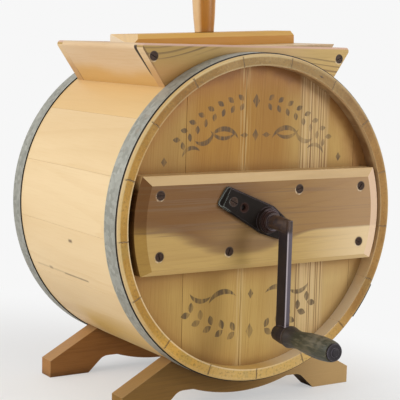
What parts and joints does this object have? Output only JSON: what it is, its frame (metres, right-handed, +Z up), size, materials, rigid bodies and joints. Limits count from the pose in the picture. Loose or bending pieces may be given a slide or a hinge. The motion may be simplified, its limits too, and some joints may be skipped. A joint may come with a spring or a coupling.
{
  "type": "wooden butter churn",
  "caption": "Coopered wooden drum churn lying on two cradles, with a flared hopper and lid on top and a hand crank that turns a slatted dasher inside.",
  "frame": {"origin": "on the floor, under the middle of the churn's overall length and width", "axes": "+Z up; -Y out of the front, where the crank is; the drum's axis is parallel to Y at z = 0.202 m; +X to the right as seen from the front"},
  "size_m": [0.3504, 0.386, 0.4806],
  "materials": {
    "stave_wood": "thin aged varnish on pale cedar",
    "head_wood": "aged varnish, weathered grain",
    "crossboard_wood": "aged varnish, brown heart and yellow sap",
    "cradle_wood": "dull reddish brown, scuffed",
    "hopper_end_wood": "aged varnish, wavy grain",
    "hopper_side_wood": "aged varnish, worn edges",
    "lid_wood": "satin, handled smooth",
    "grip_wood": "worn dark green paint over wood",
    "dasher_wood": "bare scrubbed wood",
    "hoop_zinc": "dull galvanised",
    "bracket_iron": "worn dark blue-grey",
    "crank_iron": "dark brown, polished by hand on its edges",
    "screw_steel": "tarnished"
  },
  "bodies": {
    "churn": {"stave_01": "stave_wood", "stave_02": "stave_wood", "stave_03": "stave_wood", "stave_04": "stave_wood", "stave_05": "stave_wood", "stave_06": "stave_wood", "stave_07": "stave_wood", "stave_08": "stave_wood", "stave_09": "stave_wood", "stave_10": "stave_wood", "stave_11": "stave_wood", "stave_12": "stave_wood", "stave_13": "stave_wood", "stave_14": "stave_wood", "stave_15": "stave_wood", "stave_16": "stave_wood", "stave_17": "stave_wood", "front_head_board_1": "head_wood", "front_head_board_2": "head_wood", "front_head_board_3": "head_wood", "front_head_board_4": "head_wood", "front_head_board_5": "head_wood", "rear_head_board_1": "head_wood", "rear_head_board_2": "head_wood", "rear_head_board_3": "head_wood", "rear_head_board_4": "head_wood", "rear_head_board_5": "head_wood", "front_hoop": "hoop_zinc", "rear_hoop": "hoop_zinc", "hoop_rivets": "hoop_zinc", "front_crossboard": "crossboard_wood", "rear_crossboard": "crossboard_wood", "front_cradle": "cradle_wood", "rear_cradle": "cradle_wood", "hopper_front": "hopper_end_wood", "hopper_rear": "hopper_end_wood", "hopper_left": "hopper_side_wood", "hopper_right": "hopper_side_wood", "crossboard_screws": "screw_steel", "cradle_screws": "screw_steel", "hopper_screws": "screw_steel", "bracket_screws": "screw_steel", "pivot_screws": "screw_steel", "crank_bracket": "bracket_iron", "rear_pivot": "bracket_iron"},
    "crank": {"crank": "crank_iron", "grip_pin": "crank_iron", "grip_washer": "crank_iron", "dasher_bar": "dasher_wood", "dasher_arms": "dasher_wood", "dasher_outer_slats": "dasher_wood", "dasher_inner_slats": "dasher_wood", "shaft_spacer": "dasher_wood", "lock_pin": "crank_iron"},
    "grip": {"grip": "grip_wood"},
    "lid": {"lid_board_left": "lid_wood", "lid_board_right": "lid_wood", "lid_cleat": "lid_wood", "lid_handle": "lid_wood", "lid_screws": "screw_steel"}
  },
  "joints": [
    {"name": "crank_turn", "type": "hinge", "parent": "churn", "child": "crank", "pos_m": [0, -0.0779, 0.202], "axis": [0, -1, 0], "continuous": true},
    {"name": "grip_spin", "type": "hinge", "parent": "crank", "child": "grip", "pos_m": [0, -0.1518, 0.087], "axis": [0, -1, 0], "continuous": true},
    {"name": "lid_lift", "type": "slide", "parent": "churn", "child": "lid", "axis": [0, 0, 1], "range_m": [0, 0.12]}
  ]
}
